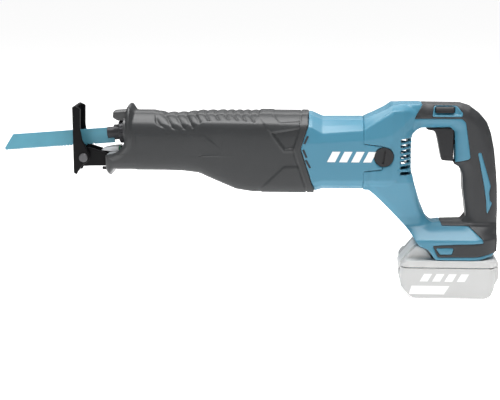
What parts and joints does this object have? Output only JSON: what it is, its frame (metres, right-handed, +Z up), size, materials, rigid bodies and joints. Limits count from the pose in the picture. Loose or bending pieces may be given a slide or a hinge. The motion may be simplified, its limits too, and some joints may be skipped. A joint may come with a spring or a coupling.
{
  "type": "reciprocating saw",
  "caption": "Cordless reciprocating saw with a D-handle, a removable battery pack, a crank-driven blade in a quick clamp and a tilting shoe",
  "frame": {"origin": "point where the blade's centre line crosses the working face of the shoe, shoe drawn in and upright, blade at mid stroke", "axes": "+X from the blade towards the handle, +Y towards the tool's right side seen from the handle, +Z up"},
  "size_m": [0.5717, 0.0768, 0.2204],
  "materials": {
    "cover_rubber": "satin moulded rubber",
    "grip_rubber": "soft satin rubber",
    "housing_blue": "fine-grained glass-filled plastic",
    "black_plastic": "satin moulded plastic",
    "casting": "die-cast, as cast",
    "machined_steel": "turned and ground steel",
    "dark_steel": "black oxide",
    "shoe_black": "gloss black paint on pressed steel",
    "blade_paint": "painted spring steel",
    "bronze": "sintered bronze",
    "copper": "copper",
    "carbon": "carbon block",
    "magnet": "ferrite",
    "clear_lens": "clear moulded lens",
    "board_green": "printed circuit board",
    "battery_grey": "pale grey plastic",
    "battery_light": "very pale grey plastic",
    "cell_sleeve": "shrink sleeve"
  },
  "bodies": {
    "housing": {"nose_cover": "cover_rubber", "gear_housing": "casting", "gear_housing_cover": "casting", "housing_bolts": "dark_steel", "guide_rod": "black_plastic", "motor_housing": "housing_blue", "motor_housing_screws": "dark_steel", "stator_yoke": "dark_steel", "stator_magnets": "magnet", "brush_holders": "copper", "carbon_brushes": "carbon", "brush_springs": "machined_steel", "brush_caps": "black_plastic", "armature_bearings": "machined_steel", "crank_bearings": "machined_steel", "plunger_bushes": "bronze", "dust_seal": "cover_rubber", "led_board": "board_green", "led_lens": "clear_lens", "grip_rubber_left": "grip_rubber", "grip_rubber_right": "grip_rubber", "handle_left": "housing_blue", "handle_right": "housing_blue", "handle_screws": "dark_steel", "switch_body": "black_plastic", "terminal_block": "black_plastic", "terminal_contacts": "copper", "motor_leads": "black_plastic"},
    "crank": {"crank_shaft": "machined_steel", "crank_gear": "machined_steel", "crank_web": "machined_steel", "crank_pin": "machined_steel", "crank_roller": "machined_steel"},
    "armature": {"armature_shaft": "machined_steel", "drive_pinion": "machined_steel", "cooling_fan": "black_plastic", "armature_core": "dark_steel", "armature_windings": "copper", "commutator": "copper"},
    "plunger": {"plunger": "dark_steel", "clamp_collar": "dark_steel", "clamp_pin": "machined_steel", "clamp_spring": "machined_steel", "saw_blade": "blade_paint"},
    "clamp_sleeve": {"clamp_sleeve": "dark_steel"},
    "release_lever": {"release_lever": "black_plastic"},
    "shoe_arm": {"shoe_arm": "shoe_black", "shoe_pin": "machined_steel"},
    "shoe": {"shoe": "shoe_black"},
    "shoe_lock_button": {"shoe_lock_button": "black_plastic"},
    "trigger": {"trigger": "black_plastic"},
    "lock_off_button": {"lock_off_button": "black_plastic"},
    "battery": {"battery_case_top": "battery_grey", "battery_case_lower": "battery_grey", "battery_cells": "cell_sleeve", "battery_board": "board_green"},
    "battery_button": {"battery_button": "battery_light"}
  },
  "joints": [
    {"name": "crank_turn", "type": "hinge", "parent": "housing", "child": "crank", "pos_m": [0.228, 0, 0], "axis": [0, 0, 1], "range_deg": [-90, 90]},
    {"name": "armature_spin", "type": "hinge", "parent": "housing", "child": "armature", "pos_m": [0.3, 0, -0.014], "axis": [1, 0, 0], "range_deg": [-450, 450]},
    {"name": "blade_stroke", "type": "slide", "parent": "housing", "child": "plunger", "axis": [0.9969, 0, 0.0785], "range_m": [-0.016, 0.016]},
    {"name": "sleeve_turn", "type": "hinge", "parent": "plunger", "child": "clamp_sleeve", "pos_m": [0.05982, 0, 0.00771], "axis": [0.9969, 0, 0.0785], "range_deg": [0, 50]},
    {"name": "lever_turn", "type": "hinge", "parent": "housing", "child": "release_lever", "pos_m": [0.05982, 0, 0.00771], "axis": [0.9969, 0, 0.0785], "range_deg": [0, 50]},
    {"name": "shoe_reach", "type": "slide", "parent": "housing", "child": "shoe_arm", "axis": [-1, 0, 0], "range_m": [0, 0.03]},
    {"name": "shoe_tilt", "type": "hinge", "parent": "shoe_arm", "child": "shoe", "pos_m": [0.012, 0, -0.0206], "axis": [0, 1, 0], "range_deg": [-20, 20]},
    {"name": "shoe_lock_press", "type": "slide", "parent": "housing", "child": "shoe_lock_button", "axis": [0, -1, 0], "range_m": [0, 0.004]},
    {"name": "trigger_pull", "type": "slide", "parent": "housing", "child": "trigger", "axis": [1, 0, 0], "range_m": [0, 0.007], "stiffness_N_per_m": 600, "springref_m": -0.004},
    {"name": "lock_off_push", "type": "slide", "parent": "housing", "child": "lock_off_button", "axis": [0, 1, 0], "range_m": [0, 0.005]},
    {"name": "battery_slide", "type": "slide", "parent": "housing", "child": "battery", "axis": [-1, 0, 0], "range_m": [0, 0.1]},
    {"name": "battery_button_press", "type": "slide", "parent": "battery", "child": "battery_button", "axis": [0, 0, -1], "range_m": [0, 0.004], "stiffness_N_per_m": 500, "springref_m": -0.004}
  ],
  "couplings": [
    {"joint": "armature_spin", "follows": "crank_turn", "ratio": 5},
    {"joint": "blade_stroke", "follows": "crank_turn", "m_per_rad": 0.010186},
    {"joint": "sleeve_turn", "follows": "lever_turn", "ratio": 1}
  ]
}
